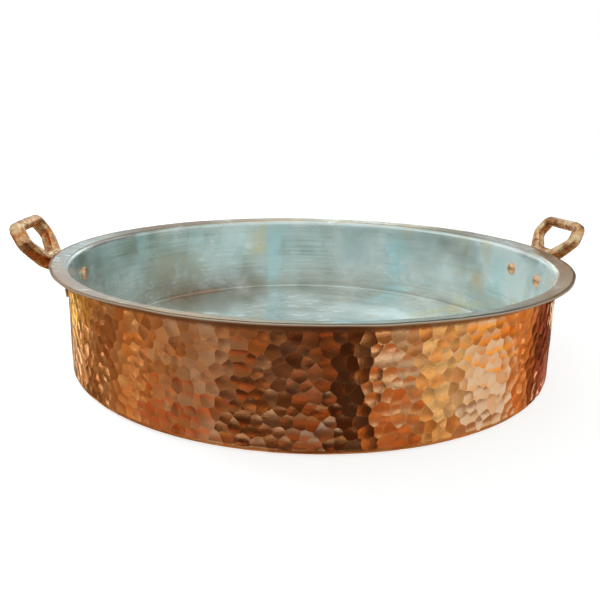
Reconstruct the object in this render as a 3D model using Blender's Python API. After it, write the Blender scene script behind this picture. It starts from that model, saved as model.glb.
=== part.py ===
"""Hammered copper tray: a round, straight-walled pan of tinned copper with two riveted handles.

Units are metres, +Z is up. The origin is the centre of the pan's underside, and the handles
stand on +X and -X. The pan is one sheet, turned outwards at the top into a narrow flange.
"""

import math

import bmesh
import bpy
from mathutils import Vector

# Pan
RIM_RADIUS = 0.265          # outer edge of the flange
WALL_TOP_RADIUS = 0.250     # outer face of the wall under the flange
WALL_FOOT_RADIUS = 0.252    # outer face of the wall above the bottom bend
RIM_HEIGHT = 0.1035         # tinned top of the flange where it leaves the wall
FLANGE_RISE = 0.002         # how much the flange climbs towards its edge
SHEET = 0.0018              # copper thickness
TIN = 0.0004                # lining thickness
GAP = 0.0003                # clearance between touching pieces
FOOT_BEND = 0.0045          # outside radius between wall and bottom
FLANGE_BEND = 0.003         # underside radius between wall and flange
BARE_EDGE = 0.0008          # width of bare copper outside the lining
SIDES = 80                  # facets round the pan

# Handle loop, in its own leaning plane: across, up, and out through the bar
LOOP_LEAN = math.radians(30.0)
LOOP_FOOT_RADIUS = 0.2738   # distance of the loop's foot from the pan's axis
LOOP_FOOT_DROP = 0.0049     # the foot's depth below RIM_HEIGHT
FOOT_HALF = 0.0160
KNEE_HALF = 0.0358
KNEE_UP = 0.0215
TOP_HALF = 0.0303
TOP_UP = 0.0382
BAR_WIDTH = 0.0086          # bar seen square to the loop's plane
FOOT_BAR_WIDTH = 0.0135     # the same at the foot, where the legs thicken
BAR_DEPTH = 0.0118          # bar measured through the loop's plane
BAR_CHAMFER = 0.0024
CORNER_RADIUS = 0.0075

# Handle plate and neck
PLATE_THICKNESS = 0.0016
PLATE_END_RADIUS = 0.0090
PLATE_CROWN = 0.0040        # how far the plate's middle reaches up behind the neck
PLATE_SHIFT = math.radians(2.6)    # how far the plate and its rivets sit off the loop's middle, towards -Y
NECK_HALF = 0.0190
NECK_SECTION = [            # distance from the pan's axis, and rise over RIM_HEIGHT
    (0.2518, -0.0095), (0.2600, -0.0056), (0.2668, -0.0042), (0.2704, -0.0010),
    (0.2758, -0.0035), (0.2782, -0.0078), (0.2754, -0.0112), (0.2660, -0.0150), (0.2518, -0.0185),
]

# Rivets
RIVET_SPACING = 0.0640      # between the two rivets of a handle, along the wall
RIVET_DROP = 0.0262         # below RIM_HEIGHT
SHANK_RADIUS = 0.0030
HEAD_RADIUS = 0.0070
HEAD_HEIGHT = 0.0034
OUTER_HEAD_HEIGHT = 0.0010

LINING_DEPTH = SHEET + GAP + TIN
FLANGE_BEND_HEIGHT = RIM_HEIGHT - LINING_DEPTH - FLANGE_BEND
FACET_SAG = WALL_TOP_RADIUS * (1.0 - math.cos(math.pi / SIDES))
RIVET_HEIGHT = RIM_HEIGHT - RIVET_DROP
RIVET_ANGLE = 0.5 * RIVET_SPACING / WALL_TOP_RADIUS


def wall_radius(height):
    """Outer radius of the wall, which narrows a little from foot to flange."""
    share = (height - FOOT_BEND) / (FLANGE_BEND_HEIGHT - FOOT_BEND)
    return WALL_FOOT_RADIUS + (WALL_TOP_RADIUS - WALL_FOOT_RADIUS) * share


PLATE_RADIUS = wall_radius(RIVET_HEIGHT - PLATE_END_RADIUS) + FACET_SAG + GAP


def clear_scene():
    """Remove whatever the open file holds."""
    for obj in list(bpy.data.objects):
        bpy.data.objects.remove(obj, do_unlink=True)


def metal(name, colour, roughness):
    """A Principled metal."""
    material = bpy.data.materials.new(name)
    material.use_nodes = True
    shader = material.node_tree.nodes["Principled BSDF"]
    shader.inputs["Base Color"].default_value = (*colour, 1.0)
    shader.inputs["Metallic"].default_value = 1.0
    shader.inputs["Roughness"].default_value = roughness
    return material


def add_object(name, builder, material):
    """Turn a finished bmesh into a smooth-shaded object."""
    bmesh.ops.recalc_face_normals(builder, faces=builder.faces)
    mesh = bpy.data.meshes.new(name)
    builder.to_mesh(mesh)
    builder.free()
    mesh.shade_smooth()
    mesh.set_sharp_from_angle(angle=math.radians(30.0))
    obj = bpy.data.objects.new(name, mesh)
    obj.data.materials.append(material)
    bpy.context.scene.collection.objects.link(obj)
    return obj


def arc(centre, radius, start, end, steps):
    """Points of an arc in a plane, start and end in degrees."""
    points = []
    for step in range(steps + 1):
        angle = math.radians(start + (end - start) * step / steps)
        points.append((centre[0] + radius * math.cos(angle), centre[1] + radius * math.sin(angle)))
    return points


def bridge_rings(builder, lower, upper):
    """Faces between two rings of vertices, where a ring of one vertex is a pole."""
    count = max(len(lower), len(upper))
    for index in range(count):
        following = (index + 1) % count
        if len(lower) == 1:
            builder.faces.new((lower[0], upper[following], upper[index]))
        elif len(upper) == 1:
            builder.faces.new((lower[index], lower[following], upper[0]))
        else:
            builder.faces.new((lower[index], lower[following], upper[following], upper[index]))


def turned(name, section, material, sides):
    """A closed body turned about Z from a half section that starts and ends on the axis."""
    builder = bmesh.new()
    rings = []
    for radius, height in section:
        if radius == 0.0:
            rings.append([builder.verts.new((0.0, 0.0, height))])
            continue
        ring = []
        for side in range(sides):
            angle = 2.0 * math.pi * side / sides
            ring.append(builder.verts.new((radius * math.cos(angle), radius * math.sin(angle), height)))
        rings.append(ring)
    for lower, upper in zip(rings, rings[1:]):
        bridge_rings(builder, lower, upper)
    return add_object(name, builder, material)


def sheet_path(depth, reach):
    """Half section of the pan at a depth inside its outer skin, from the axis to radius reach."""
    foot_centre = (WALL_FOOT_RADIUS - FOOT_BEND, FOOT_BEND)
    flange_centre = (WALL_TOP_RADIUS + FLANGE_BEND, FLANGE_BEND_HEIGHT)
    points = [(0.0, depth), (0.5 * WALL_FOOT_RADIUS, depth)]
    points += arc(foot_centre, FOOT_BEND - depth, -90.0, 0.0, 4)
    points += arc(flange_centre, FLANGE_BEND + depth, 180.0, 90.0, 4)
    climb = FLANGE_RISE * (reach - flange_centre[0]) / (RIM_RADIUS - flange_centre[0])
    points.append((reach, points[-1][1] + climb))
    return points


def copper_pan(material):
    """Wall, bottom and flange in one sheet, with a rounded edge."""
    edge_radius = 0.5 * SHEET
    outer_skin = sheet_path(0.0, RIM_RADIUS - edge_radius)
    inner_skin = sheet_path(SHEET, RIM_RADIUS - edge_radius)
    edge_centre = (RIM_RADIUS - edge_radius, 0.5 * (outer_skin[-1][1] + inner_skin[-1][1]))
    edge = arc(edge_centre, edge_radius, -45.0, 45.0, 2)
    return turned("copper_pan", outer_skin + edge + inner_skin[::-1], material, SIDES)


def tin_lining(material):
    """The tinned skin over the floor, the wall and the top of the flange."""
    reach = RIM_RADIUS - BARE_EDGE
    back = sheet_path(SHEET + GAP, reach)
    face = sheet_path(LINING_DEPTH, reach)
    return turned("tin_lining", back + face[::-1], material, SIDES)


def rounded_outline(corners, radius, steps):
    """A closed outline of (across, up, width) with its corners rounded by short arcs."""
    outline = []
    count = len(corners)
    for index, corner in enumerate(corners):
        here = Vector(corner[:2])
        towards_last = (Vector(corners[index - 1][:2]) - here).normalized()
        towards_next = (Vector(corners[(index + 1) % count][:2]) - here).normalized()
        half_angle = 0.5 * towards_last.angle(towards_next)
        centre = here + (towards_last + towards_next).normalized() * (radius / math.sin(half_angle))
        start = here + towards_last * (radius / math.tan(half_angle)) - centre
        end = here + towards_next * (radius / math.tan(half_angle)) - centre
        for step in range(steps + 1):
            spoke = start.lerp(end, step / steps).normalized() * radius
            outline.append((*(centre + spoke), corner[2]))
    return outline


def bar_section(half_width, half_depth, chamfer):
    """The eight corners of a chamfered bar."""
    inset_width = half_width - chamfer
    inset_depth = half_depth - chamfer
    return [
        (half_width, inset_depth), (inset_width, half_depth),
        (-inset_width, half_depth), (-half_width, inset_depth),
        (-half_width, -inset_depth), (-inset_width, -half_depth),
        (inset_width, -half_depth), (half_width, -inset_depth),
    ]


def handle_loop(name, material):
    """The angular loop: legs spread from the foot to the knees and close in to a straight grip."""
    right_side = [
        (FOOT_HALF, 0.0, FOOT_BAR_WIDTH),
        (KNEE_HALF, KNEE_UP, BAR_WIDTH),
        (TOP_HALF, TOP_UP, BAR_WIDTH),
    ]
    left_side = [(-across, up, width) for across, up, width in reversed(right_side)]
    outline = rounded_outline(right_side + left_side, CORNER_RADIUS, 3)
    foot = Vector((LOOP_FOOT_RADIUS, 0.0, RIM_HEIGHT - LOOP_FOOT_DROP))
    across_axis = Vector((0.0, 1.0, 0.0))
    up_axis = Vector((math.sin(LOOP_LEAN), 0.0, math.cos(LOOP_LEAN)))
    through_axis = across_axis.cross(up_axis)
    builder = bmesh.new()
    rings = []
    for index, (across, up, width) in enumerate(outline):
        here = Vector((across, up))
        before = (here - Vector(outline[index - 1][:2])).normalized()
        after = (Vector(outline[(index + 1) % len(outline)][:2]) - here).normalized()
        along = (before + after).normalized()
        mitre = 1.0 / along.dot(after)
        outward = Vector((along.y, -along.x)) * mitre
        ring = []
        for side, depth in bar_section(0.5 * width, 0.5 * BAR_DEPTH, BAR_CHAMFER):
            flat = here + outward * side
            place = foot + across_axis * flat.x + up_axis * flat.y + through_axis * depth
            ring.append(builder.verts.new(place))
        rings.append(ring)
    for index, ring in enumerate(rings):
        bridge_rings(builder, ring, rings[(index + 1) % len(rings)])
    return add_object(name, builder, material)


def handle_neck(name, material):
    """The block that carries the loop's foot in under the flange to the plate."""
    builder = bmesh.new()
    ends = []
    for across in (-NECK_HALF, NECK_HALF):
        ends.append([builder.verts.new((radius, across, RIM_HEIGHT + rise)) for radius, rise in NECK_SECTION])
    bridge_rings(builder, ends[0], ends[1])
    builder.faces.new(ends[0])
    builder.faces.new(ends[1])
    return add_object(name, builder, material)


def handle_plate(name, material):
    """The plate on the wall: round-ended, bent to the wall's curve."""
    end_centre = 0.5 * RIVET_SPACING
    steps = 6
    stations = []
    for step in range(steps + 1):
        angle = math.radians(8.0 + 82.0 * step / steps)
        stations.append((
            end_centre + PLATE_END_RADIUS * math.cos(angle),
            PLATE_END_RADIUS * math.sin(angle),
        ))
    stations += [(end_centre * 0.5, PLATE_END_RADIUS), (0.0, PLATE_END_RADIUS)]
    stations += [(-across, half) for across, half in reversed(stations[:-1])]
    builder = bmesh.new()
    rings = []
    for across, half in stations:
        angle = across / PLATE_RADIUS
        bottom = RIVET_HEIGHT - half
        top = RIVET_HEIGHT + half
        if abs(across) < 0.9 * end_centre:
            top += PLATE_CROWN
        ring = []
        for depth, height in ((0.0, bottom), (PLATE_THICKNESS, bottom), (PLATE_THICKNESS, top), (0.0, top)):
            distance = PLATE_RADIUS + depth
            ring.append(builder.verts.new((distance * math.cos(angle), distance * math.sin(angle), height)))
        rings.append(ring)
    for first, second in zip(rings, rings[1:]):
        bridge_rings(builder, first, second)
    builder.faces.new(rings[0])
    builder.faces.new(rings[-1])
    return add_object(name, builder, material)


def use_as_tool(obj, target, operation):
    """Join obj to target, or cut it away, and leave obj out of the model."""
    modifier = target.modifiers.new(obj.name, "BOOLEAN")
    modifier.operation = operation
    modifier.solver = "EXACT"
    modifier.object = obj
    obj.hide_render = True
    obj.display_type = "WIRE"


def handle(name, turn, plate_turn, material):
    """One casting: loop, neck and plate in a single piece."""
    loop = handle_loop(name, material)
    loop.rotation_euler.z = turn
    for shape, label, angle in ((handle_neck, "neck", turn), (handle_plate, "plate", plate_turn)):
        addition = shape(f"{name}_{label}", material)
        addition.rotation_euler.z = angle
        use_as_tool(addition, loop, "UNION")
    return loop


def set_on_wall(obj, angle):
    """Lay an object's Z axis outwards through the wall at a rivet's height."""
    obj.rotation_euler = (0.0, 0.5 * math.pi, angle)
    obj.location.z = RIVET_HEIGHT


def rivet_hole(name, angle, material):
    """The drill that clears a rivet's shank."""
    radius = SHANK_RADIUS + GAP
    start = WALL_TOP_RADIUS - 0.010
    end = WALL_TOP_RADIUS + 0.010
    section = [(0.0, start), (radius, start), (radius, end), (0.0, end)]
    drill = turned(name, section, material, 16)
    set_on_wall(drill, angle)
    return drill


def rivet(name, angle, material):
    """A copper rivet with a dome inside the pan and a flatter one on the plate."""
    inner_seat = wall_radius(RIVET_HEIGHT + HEAD_RADIUS) - LINING_DEPTH - FACET_SAG - GAP
    outer_seat = PLATE_RADIUS + PLATE_THICKNESS + GAP
    dome = arc((0.0, 0.0), 1.0, 75.0, 0.0, 4)
    section = [(0.0, inner_seat - HEAD_HEIGHT)]
    section += [(HEAD_RADIUS * radius, inner_seat - HEAD_HEIGHT * height) for radius, height in dome]
    section += [(SHANK_RADIUS, inner_seat), (SHANK_RADIUS, outer_seat)]
    section += [
        (HEAD_RADIUS * radius, outer_seat + OUTER_HEAD_HEIGHT * height) for radius, height in reversed(dome)
    ]
    section += [(0.0, outer_seat + OUTER_HEAD_HEIGHT)]
    piece = turned(name, section, material, 16)
    set_on_wall(piece, angle)
    return piece


def build():
    """Make the pan, its lining, two handles and four rivets."""
    clear_scene()
    copper = metal("copper", (0.72, 0.33, 0.16), 0.25)
    tin = metal("tin", (0.55, 0.60, 0.60), 0.35)
    bronze = metal("bronze", (0.62, 0.38, 0.20), 0.40)
    pan = copper_pan(copper)
    lining = tin_lining(tin)
    for side, turn, forward in (("right", 0.0, -1.0), ("left", math.pi, 1.0)):
        plate_turn = turn + forward * PLATE_SHIFT
        casting = handle(f"handle_{side}", turn, plate_turn, bronze)
        for place, offset in (("front", forward), ("back", -forward)):
            angle = plate_turn + offset * RIVET_ANGLE
            drill = rivet_hole(f"drill_{side}_{place}", angle, copper)
            for target in (pan, lining, casting):
                use_as_tool(drill, target, "DIFFERENCE")
            rivet(f"rivet_{side}_{place}", angle, copper)


build()
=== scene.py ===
"""Looks of the hammered copper tray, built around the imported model.

Everything is in metres in the tray's own frame: the origin is the centre of the underside, the
handles stand on +X and -X, and +Z is up.
"""

import math

import bmesh
import bpy
import numpy as np
from mathutils import Matrix, Vector, noise


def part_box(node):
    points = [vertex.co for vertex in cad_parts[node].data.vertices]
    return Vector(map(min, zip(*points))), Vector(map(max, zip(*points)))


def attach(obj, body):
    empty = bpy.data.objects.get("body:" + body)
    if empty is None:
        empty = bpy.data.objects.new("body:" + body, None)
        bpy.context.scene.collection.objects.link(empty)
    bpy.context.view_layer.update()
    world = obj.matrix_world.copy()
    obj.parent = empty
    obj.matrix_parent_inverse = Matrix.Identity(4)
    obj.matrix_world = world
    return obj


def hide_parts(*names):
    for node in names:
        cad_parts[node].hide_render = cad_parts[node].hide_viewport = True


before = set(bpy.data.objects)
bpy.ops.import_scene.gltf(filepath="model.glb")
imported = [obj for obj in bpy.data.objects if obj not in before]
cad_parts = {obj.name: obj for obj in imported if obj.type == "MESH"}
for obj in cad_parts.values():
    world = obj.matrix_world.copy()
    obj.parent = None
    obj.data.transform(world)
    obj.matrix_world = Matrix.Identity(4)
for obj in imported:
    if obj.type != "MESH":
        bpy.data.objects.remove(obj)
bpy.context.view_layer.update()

# ---------------------------------------------------------------------------
# Sizes
# ---------------------------------------------------------------------------

pan_low, pan_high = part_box("copper_pan")
tin_low, tin_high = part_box("tin_lining")
handle_low, handle_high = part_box("handle_right")
rivet_low, rivet_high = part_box("rivet_right_front")

RIM_RADIUS = pan_high.x
FLANGE_RISE = 0.002
RIM_HEIGHT = tin_high.z - FLANGE_RISE * 0.98
SHEET = 0.0018
CLEARANCE = 0.0003
TIN = 0.0004
LINING_DEPTH = SHEET + CLEARANCE + TIN
WALL_TOP_RADIUS = RIM_RADIUS - 0.015
WALL_FOOT_RADIUS = WALL_TOP_RADIUS + 0.002
FOOT_BEND = 0.0045
FLANGE_BEND = 0.003
FLANGE_BEND_HEIGHT = RIM_HEIGHT - LINING_DEPTH - FLANGE_BEND
RIVET_HEIGHT = 0.5 * (rivet_low.z + rivet_high.z)

# Rivets
HEAD_RADIUS = 0.0070
HEAD_HEIGHT = 0.0034
OUTER_HEAD_HEIGHT = 0.0010
SHANK_RADIUS = 0.0030
RIVET_ANGLE = 0.5 * 0.064 / WALL_TOP_RADIUS
PLATE_SHIFT = math.radians(2.6)
PLATE_FACE = 0.2527

# Where the handle loop leaves its neck
LOOP_FOOT = 0.2738

# Hammer marks
MARKS_ROUND = 150
MARK_ROWS = 10
MARK_PITCH = 2.0 * math.pi * WALL_TOP_RADIUS / MARKS_ROUND
ROW_PITCH = MARK_PITCH * math.sqrt(0.75)
FIRST_ROW = 0.0085

# Camera
CAMERA_DISTANCE = 0.6239
CAMERA_HEIGHT = RIM_HEIGHT + 0.1178
CAMERA_BEARING = math.radians(-98.4)
CAMERA_SWING = math.radians(0.99)
CAMERA_PITCH = math.radians(-15.53)
CAMERA_ROLL = math.radians(1.0)
LENS = 34.53


# ---------------------------------------------------------------------------
# Node graphs
# ---------------------------------------------------------------------------

class Value:
    """A node socket that takes part in arithmetic."""

    def __init__(self, graph, socket):
        self.graph = graph
        self.socket = socket

    def __add__(self, other):
        return self.graph.math("ADD", self, other)

    def __radd__(self, other):
        return self.graph.math("ADD", other, self)

    def __sub__(self, other):
        return self.graph.math("SUBTRACT", self, other)

    def __rsub__(self, other):
        return self.graph.math("SUBTRACT", other, self)

    def __mul__(self, other):
        return self.graph.math("MULTIPLY", self, other)

    def __rmul__(self, other):
        return self.graph.math("MULTIPLY", other, self)

    def __truediv__(self, other):
        return self.graph.math("DIVIDE", self, other)

    def __rtruediv__(self, other):
        return self.graph.math("DIVIDE", other, self)

    def __neg__(self):
        return self.graph.math("MULTIPLY", self, -1.0)


class Outputs:
    """The outputs of a node, by name or number."""

    def __init__(self, graph, node):
        self.graph = graph
        self.node = node

    def __getitem__(self, key):
        return Value(self.graph, self.node.outputs[key])


class Graph:
    """Adds nodes to one tree: node() takes a type, its settings, and its sockets' values or links."""

    def __init__(self, tree):
        self.tree = tree

    def node(self, kind, settings=None, sockets=None):
        made = self.tree.nodes.new(kind)
        for name, setting in (settings or {}).items():
            if name == "stops":
                self.set_stops(made.color_ramp, setting)
            else:
                setattr(made, name, setting)
        for name, value in (sockets or {}).items():
            if isinstance(value, Value):
                self.tree.links.new(value.socket, made.inputs[name])
            else:
                made.inputs[name].default_value = value
        return Outputs(self, made)

    @staticmethod
    def set_stops(ramp, stops):
        while len(ramp.elements) < len(stops):
            ramp.elements.new(0.5)
        for element, (position, colour) in zip(ramp.elements, stops):
            element.position = position
            element.color = (*colour, 1.0)

    def math(self, operation, *values, clamp=False):
        sockets = dict(enumerate(values))
        return self.node("ShaderNodeMath", {"operation": operation, "use_clamp": clamp}, sockets)[0]

    def vector_math(self, operation, *values):
        out = "Value" if operation in ("DOT_PRODUCT", "LENGTH", "DISTANCE") else "Vector"
        return self.node("ShaderNodeVectorMath", {"operation": operation}, dict(enumerate(values)))[out]

    def combine(self, x, y, z):
        return self.node("ShaderNodeCombineXYZ", None, {0: x, 1: y, 2: z})[0]

    def split(self, vector):
        parts = self.node("ShaderNodeSeparateXYZ", None, {0: vector})
        return parts[0], parts[1], parts[2]

    def step(self, value, start, end):
        """0 before start, 1 after end, smooth between; start may be above end."""
        settings = {"interpolation_type": "SMOOTHSTEP"}
        return self.node("ShaderNodeMapRange", settings, {0: value, 1: start, 2: end, 3: 0.0, 4: 1.0})[0]

    def noise(self, vector, scale, detail=2.0, roughness=0.5, distortion=0.0):
        sockets = {"Vector": vector, "Scale": scale, "Detail": detail}
        sockets.update({"Roughness": roughness, "Distortion": distortion})
        return self.node("ShaderNodeTexNoise", None, sockets)["Fac"]

    def blend(self, factor, first, second, mode="MIX"):
        settings = {"data_type": "RGBA", "blend_type": mode, "clamp_factor": True}
        return self.node("ShaderNodeMix", settings, {0: factor, 6: first, 7: second})[2]

    def ramp(self, value, stops, interpolation="LINEAR"):
        made = self.node("ShaderNodeValToRGB", {"stops": stops}, {0: value})
        made.node.color_ramp.interpolation = interpolation
        return made["Color"]


def colour(red, green, blue):
    return (red, green, blue, 1.0)


# ---------------------------------------------------------------------------
# Mesh helpers
# ---------------------------------------------------------------------------

def arc(centre, radius, start, end, steps):
    """Points of an arc in the turning plane, start and end in degrees."""
    points = []
    for step in range(steps + 1):
        angle = math.radians(start + (end - start) * step / steps)
        points.append((centre[0] + radius * math.cos(angle), centre[1] + radius * math.sin(angle)))
    return points


def along(first, last, steps):
    """Points evenly between two points, without either end."""
    shares = [step / steps for step in range(1, steps)]
    return [(first[0] + (last[0] - first[0]) * s, first[1] + (last[1] - first[1]) * s) for s in shares]


def add_object(name, builder):
    """Make a smooth-shaded object of a finished bmesh."""
    bmesh.ops.recalc_face_normals(builder, faces=builder.faces)
    mesh = bpy.data.meshes.new(name)
    builder.to_mesh(mesh)
    builder.free()
    mesh.shade_smooth()
    obj = bpy.data.objects.new(name, mesh)
    bpy.context.scene.collection.objects.link(obj)
    return obj


def join_rings(builder, lower, upper):
    """Triangles between two rings, where one may have a whole number of times more points."""
    if len(lower) < len(upper):
        lower, upper = upper, lower
    ratio = len(lower) // len(upper)
    for index in range(len(lower)):
        following = (index + 1) % len(lower)
        near = upper[(index + ratio // 2) // ratio % len(upper)]
        builder.faces.new((lower[index], lower[following], near))
        far = upper[(index + 1 + ratio // 2) // ratio % len(upper)]
        if far is not near:
            builder.faces.new((lower[following], far, near))


def turned(name, section):
    """A closed body turned about Z: rows are (radius, height, sides, twist in turns, hammered)."""
    builder = bmesh.new()
    hammered = builder.verts.layers.float.new("hammered")
    rings = []
    for radius, height, sides, twist, mark in section:
        ring = []
        for side in range(sides if radius > 0.0 else 1):
            angle = 2.0 * math.pi * (side / sides + twist)
            vertex = builder.verts.new((radius * math.cos(angle), radius * math.sin(angle), height))
            vertex[hammered] = mark
            ring.append(vertex)
        rings.append(ring)
    for lower, upper in zip(rings, rings[1:]):
        join_rings(builder, lower, upper)
    return add_object(name, builder)


def evaluated_copy(obj):
    """Replace a live modifier stack by the plain mesh that it makes."""
    bpy.context.view_layer.update()
    graph = bpy.context.evaluated_depsgraph_get()
    mesh = bpy.data.meshes.new_from_object(obj.evaluated_get(graph))
    obj.modifiers.clear()
    old = obj.data
    obj.data = mesh
    bpy.data.meshes.remove(old)
    return obj


# ---------------------------------------------------------------------------
# Copper pan: a turned sheet whose wall is hammered by geometry nodes
# ---------------------------------------------------------------------------

WALL_SIDES = 1056
EDGE_SIDES = 264
HIDDEN_SIDES = 66
WALL_STEP = 2.0 * math.pi * WALL_TOP_RADIUS / WALL_SIDES


def wall_radius(height):
    """Outer radius of the wall before hammering."""
    share = (height - FOOT_BEND) / (FLANGE_BEND_HEIGHT - FOOT_BEND)
    return WALL_FOOT_RADIUS + (WALL_TOP_RADIUS - WALL_FOOT_RADIUS) * share


def sheet_bends(depth):
    """Foot bend and flange bend of the sheet at a depth inside its outer skin."""
    foot = arc((WALL_FOOT_RADIUS - FOOT_BEND, FOOT_BEND), FOOT_BEND - depth, -90.0, 0.0, 6)
    flange = arc((WALL_TOP_RADIUS + FLANGE_BEND, FLANGE_BEND_HEIGHT), FLANGE_BEND + depth, 180.0, 90.0, 6)
    return foot, flange


def flange_point(depth, reach):
    """A point of the flange at a depth inside the outer skin and a distance from the axis."""
    start = WALL_TOP_RADIUS + FLANGE_BEND
    climb = FLANGE_RISE * (reach - start) / (RIM_RADIUS - start)
    return reach, FLANGE_BEND_HEIGHT + FLANGE_BEND + depth + climb


def ring_rows(points, sides, twist, hammered):
    """Section rows that share a number of sides."""
    return [(radius, height, sides, twist, hammered) for radius, height in points]


def pan_section():
    """Rows of the copper body, from the axis over the underside and wall and back inside."""
    foot, flange = sheet_bends(0.0)
    edge_radius = 0.5 * SHEET
    reach = RIM_RADIUS - edge_radius
    underside = [(foot[0][0] * share, 0.0) for share in (0.08, 0.3, 0.55, 0.8, 0.97)]
    rows = [(0.0, 0.0, 1, 0.0, 1.0)] + ring_rows(underside[:-1], HIDDEN_SIDES, 0.0, 1.0)
    rows += ring_rows(underside[-1:], EDGE_SIDES, 0.0, 1.0) + ring_rows(foot[:-1], WALL_SIDES, 0.0, 1.0)
    count = round((flange[0][1] - foot[-1][1]) / (WALL_STEP * math.sqrt(0.75)))
    for row in range(count + 1):
        height = foot[-1][1] + (flange[0][1] - foot[-1][1]) * row / count
        rows.append((wall_radius(height), height, WALL_SIDES, 0.5 * row / WALL_SIDES, 1.0))
    twist = 0.5 * count / WALL_SIDES
    under = along(flange[-1], flange_point(0.0, reach), 5)
    edge = arc(flange_point(edge_radius, reach), edge_radius, -90.0, 90.0, 6)
    rows += ring_rows(flange[1:] + under + edge, EDGE_SIDES, twist, 1.0)
    foot, flange = sheet_bends(SHEET)
    rows += ring_rows(flange[::-1] + foot[::-1], EDGE_SIDES, twist, 0.0)
    rows += ring_rows([(0.5 * foot[0][0], SHEET)], HIDDEN_SIDES, twist, 0.0) + [(0.0, SHEET, 1, 0.0, 0.0)]
    return rows


def group_input(tree, name, kind, default):
    """A named input of a node tree."""
    made = tree.interface.new_socket(name, in_out="INPUT", socket_type=kind)
    if kind != "NodeSocketGeometry":
        made.default_value = default
    return made


def blow_tree():
    """One hammer blow of the lattice: its hollow's height and slope at a point of the wall."""
    tree = bpy.data.node_groups.new("hammer_blow", "GeometryNodeTree")
    for name in ("Round", "Up", "Column", "Row"):
        group_input(tree, name, "NodeSocketFloat", 0.0)
    for name, default in (("Rows", MARK_ROWS), ("Marks round", MARKS_ROUND), ("Seed", 0)):
        group_input(tree, name, "NodeSocketFloat", float(default))
    for name in ("Pitch", "Row pitch", "Depth", "Tilt", "Scatter", "Hollow radius"):
        group_input(tree, name, "NodeSocketFloat", 0.0)
    tree.interface.new_socket("Surface", in_out="OUTPUT", socket_type="NodeSocketVector")
    tree.interface.new_socket("Mark", in_out="OUTPUT", socket_type="NodeSocketFloat")
    graph = Graph(tree)
    given = graph.node("NodeGroupInput")
    row = graph.math("FLOOR", given["Up"]) + given["Row"]
    shift = graph.math("FLOORED_MODULO", row, 2.0) * 0.5
    column = graph.math("FLOOR", given["Round"] - shift) + given["Column"]
    mark = graph.math("FLOORED_MODULO", column, given["Marks round"]) + row * given["Marks round"]
    chances = []
    for offset in range(3):
        random = graph.node(
            "FunctionNodeRandomValue", {"data_type": "FLOAT_VECTOR"},
            {0: (-1.0, -1.0, -1.0), 1: (1.0, 1.0, 1.0), "ID": mark, "Seed": given["Seed"] + offset},
        )
        chances.append(graph.split(random[0]))
    place, lean, size = chances
    off_round = (given["Round"] - (column + 0.5 + shift + place[0] * given["Scatter"])) * given["Pitch"]
    off_up = (given["Up"] - (row + 0.5 + place[1] * given["Scatter"])) * given["Row pitch"]
    hollow = given["Hollow radius"] * (1.0 + 0.32 * size[1])
    lean_round = lean[0] * given["Tilt"]
    lean_up = lean[1] * given["Tilt"]
    bowl = (off_round * off_round + off_up * off_up) / (2.0 * hollow)
    height = bowl + lean_round * off_round + lean_up * off_up - given["Depth"] * (1.0 + 0.14 * size[0])
    outside = graph.math("MAXIMUM", graph.math("LESS_THAN", row, 0.0), graph.math("GREATER_THAN", row, given["Rows"] - 0.5))
    height = height + outside
    slope_round = off_round / hollow + lean_round
    slope_up = off_up / hollow + lean_up
    out = tree.nodes.new("NodeGroupOutput")
    tree.links.new(graph.combine(height, slope_round, slope_up).socket, out.inputs[0])
    tree.links.new(mark.socket, out.inputs[1])
    return tree


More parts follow.
